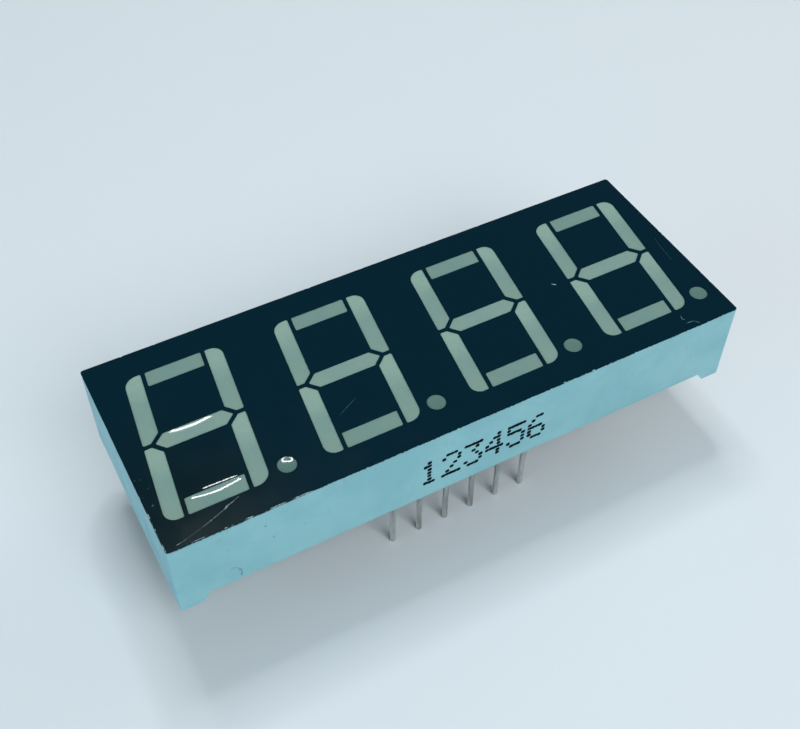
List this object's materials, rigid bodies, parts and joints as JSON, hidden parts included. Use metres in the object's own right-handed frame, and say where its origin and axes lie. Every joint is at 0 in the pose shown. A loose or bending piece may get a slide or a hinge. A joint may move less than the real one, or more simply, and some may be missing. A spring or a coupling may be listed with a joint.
{
  "type": "seven segment display module",
  "caption": "Seven segment numeric display module: white moulded reflector, black printed face, leaning digits of milky resin, dots and two rows of solder pins behind.",
  "frame": {"origin": "middle of the pin pattern, in the plane of the body's standing ends, which is the plane of the board that the module is soldered to", "axes": "+X along the reading direction, +Y towards the tops of the digits, +Z out of the lit face"},
  "size_m": [0.0506, 0.019, 0.0146],
  "materials": {
    "housing_plastic": "satin moulded white, slightly cool",
    "face_ink": "satin black print with a blue cast",
    "segment_resin": "milky grey-green cast resin, glossy",
    "seal_resin": "cast potting resin, glossy, slightly wavy",
    "board_laminate": "glass-fibre laminate",
    "board_copper": "bare copper",
    "solder": "bright solder",
    "pin_tin": "tinned, slightly dull",
    "chip_crystal": "amber semiconductor chip",
    "bond_wire": "drawn gold wire"
  },
  "bodies": {
    "root": {"reflector_housing": "housing_plastic", "face_mask": "face_ink", "circuit_board": "board_laminate", "board_copper": "board_copper", "solder_joints": "solder", "back_seal": "seal_resin", "digit_1_segment_a": "segment_resin", "digit_1_segment_b": "segment_resin", "digit_1_segment_c": "segment_resin", "digit_1_segment_d": "segment_resin", "digit_1_segment_e": "segment_resin", "digit_1_segment_f": "segment_resin", "digit_1_segment_g": "segment_resin", "digit_2_segment_a": "segment_resin", "digit_2_segment_b": "segment_resin", "digit_2_segment_c": "segment_resin", "digit_2_segment_d": "segment_resin", "digit_2_segment_e": "segment_resin", "digit_2_segment_f": "segment_resin", "digit_2_segment_g": "segment_resin", "digit_3_segment_a": "segment_resin", "digit_3_segment_b": "segment_resin", "digit_3_segment_c": "segment_resin", "digit_3_segment_d": "segment_resin", "digit_3_segment_e": "segment_resin", "digit_3_segment_f": "segment_resin", "digit_3_segment_g": "segment_resin", "digit_4_segment_a": "segment_resin", "digit_4_segment_b": "segment_resin", "digit_4_segment_c": "segment_resin", "digit_4_segment_d": "segment_resin", "digit_4_segment_e": "segment_resin", "digit_4_segment_f": "segment_resin", "digit_4_segment_g": "segment_resin", "digit_1_dot": "segment_resin", "digit_2_dot": "segment_resin", "digit_3_dot": "segment_resin", "digit_4_dot": "segment_resin", "led_chips_digit_1": "chip_crystal", "bond_wires_digit_1": "bond_wire", "led_chips_digit_2": "chip_crystal", "bond_wires_digit_2": "bond_wire", "led_chips_digit_3": "chip_crystal", "bond_wires_digit_3": "bond_wire", "led_chips_digit_4": "chip_crystal", "bond_wires_digit_4": "bond_wire", "pin_1": "pin_tin", "pin_2": "pin_tin", "pin_3": "pin_tin", "pin_4": "pin_tin", "pin_5": "pin_tin", "pin_6": "pin_tin", "pin_7": "pin_tin", "pin_8": "pin_tin", "pin_9": "pin_tin", "pin_10": "pin_tin", "pin_11": "pin_tin", "pin_12": "pin_tin"}
  },
  "joints": []
}
